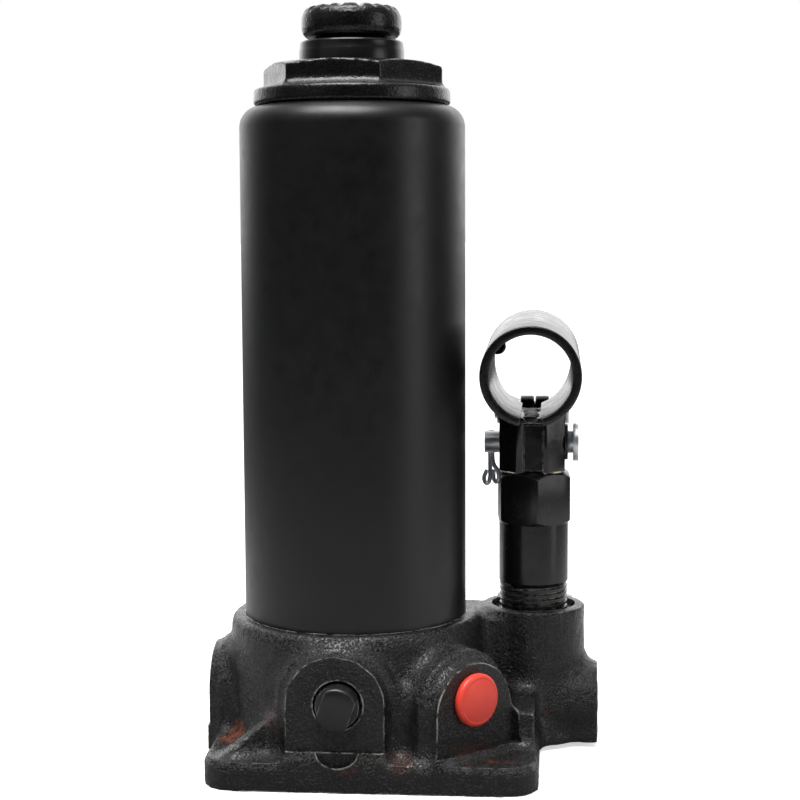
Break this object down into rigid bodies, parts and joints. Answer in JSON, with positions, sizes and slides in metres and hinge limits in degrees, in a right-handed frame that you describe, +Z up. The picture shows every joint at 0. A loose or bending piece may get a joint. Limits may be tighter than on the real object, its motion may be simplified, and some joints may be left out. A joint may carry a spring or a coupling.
{
  "type": "hydraulic bottle jack",
  "caption": "Upright hydraulic bottle jack with a cast base, round oil tank, lifting ram with an extension screw, side hand pump with a tubular handle socket, and a release valve.",
  "frame": {"origin": "underside of the base, on the ram's axis", "axes": "+Z up along the ram, +X from the ram towards the pump, -Y the side that the handle socket and the release valve face"},
  "size_m": [0.1012, 0.0868, 0.194],
  "materials": {
    "cast_enamel": "gloss black enamel over rough sand casting",
    "tank_enamel": "satin black enamel",
    "black_steel": "black enamel over turned or forged steel",
    "bright_steel": "ground steel",
    "zinc_steel": "bright zinc plate",
    "spring_steel": "bright spring steel",
    "brass": "turned",
    "rubber": "moulded oil-resistant rubber",
    "red_plastic": "moulded"
  },
  "bodies": {
    "base": {"base_casting": "cast_enamel", "tank_gasket": "rubber", "tank_tube": "tank_enamel", "tank_seal": "rubber", "cylinder_gasket": "brass", "pressure_cylinder": "bright_steel", "top_nut": "black_steel", "ram_seal": "rubber", "ram_wiper": "rubber", "pump_gasket": "brass", "pump_cylinder": "black_steel", "pump_gland": "brass", "left_plug": "black_steel", "right_plug": "black_steel", "oil_strainer": "brass", "safety_ball": "zinc_steel", "safety_spring": "spring_steel", "safety_adjuster": "zinc_steel", "safety_cap": "red_plastic", "link_pin": "zinc_steel", "link_pin_clip": "spring_steel"},
    "ram": {"ram": "bright_steel", "ram_guide": "brass", "piston_cup": "rubber", "cup_washer": "zinc_steel", "piston_nut": "zinc_steel"},
    "screw_stop": {"screw_stop_washer": "zinc_steel"},
    "screw": {"extension_screw": "black_steel", "screw_tail_clip": "spring_steel"},
    "plunger": {"pump_plunger": "bright_steel", "plunger_seal": "rubber"},
    "handle": {"handle_socket": "black_steel", "socket_bracket": "black_steel", "plunger_pin": "zinc_steel", "pin_washer": "zinc_steel", "cotter_pin": "zinc_steel", "fulcrum_pin": "zinc_steel", "fulcrum_clip": "spring_steel"},
    "link": {"link_plate_left": "black_steel", "link_plate_right": "black_steel"},
    "release_seal": {"release_seal": "rubber", "release_ball": "zinc_steel"},
    "release_screw": {"release_screw": "black_steel"},
    "suction_ball": {"suction_ball": "zinc_steel"},
    "discharge_ball": {"discharge_ball": "zinc_steel"},
    "filler_plug": {"filler_plug": "rubber"}
  },
  "joints": [
    {"name": "ram_lift", "type": "slide", "parent": "base", "child": "ram", "axis": [0, 0, 1], "range_m": [0, 0.118]},
    {"name": "screw_advance", "type": "slide", "parent": "ram", "child": "screw_stop", "axis": [0, 0, 1], "range_m": [0, 0.06]},
    {"name": "screw_turn", "type": "hinge", "parent": "screw_stop", "child": "screw", "pos_m": [0, 0, 0.12], "axis": [0, 0, 1], "range_deg": [0, 7200]},
    {"name": "pump_stroke", "type": "slide", "parent": "base", "child": "plunger", "axis": [0, 0, 1], "range_m": [0, 0.0162]},
    {"name": "handle_swing", "type": "hinge", "parent": "plunger", "child": "handle", "pos_m": [0.0466, 0.015, 0.0805], "axis": [-1, 0, 0], "range_deg": [0, 38]},
    {"name": "link_swing", "type": "hinge", "parent": "handle", "child": "link", "pos_m": [0.0466, 0.03925, 0.08654], "axis": [1, 0, 0], "range_deg": [0, 39.6]},
    {"name": "release_back_off", "type": "slide", "parent": "base", "child": "release_seal", "axis": [0, -1, 0], "range_m": [0, 0.00225]},
    {"name": "release_turn", "type": "hinge", "parent": "release_seal", "child": "release_screw", "pos_m": [-0.0006, -0.03, 0.0215], "axis": [0, -1, 0], "range_deg": [0, 540]},
    {"name": "filler_pull", "type": "slide", "parent": "base", "child": "filler_plug", "axis": [0, 1, 0], "range_m": [0, 0.012]},
    {"name": "suction_lift", "type": "slide", "parent": "base", "child": "suction_ball", "axis": [0, 0, 1], "range_m": [0, 0.0015]},
    {"name": "discharge_lift", "type": "slide", "parent": "base", "child": "discharge_ball", "axis": [0, 0, 1], "range_m": [0, 0.0015]}
  ],
  "couplings": [
    {"joint": "screw_advance", "follows": "screw_turn", "m_per_rad": 0.00047746},
    {"joint": "pump_stroke", "follows": "handle_swing", "m_per_rad": 0.0244},
    {"joint": "link_swing", "follows": "handle_swing", "ratio": 1.04},
    {"joint": "release_back_off", "follows": "release_turn", "m_per_rad": 0.00023873}
  ]
}
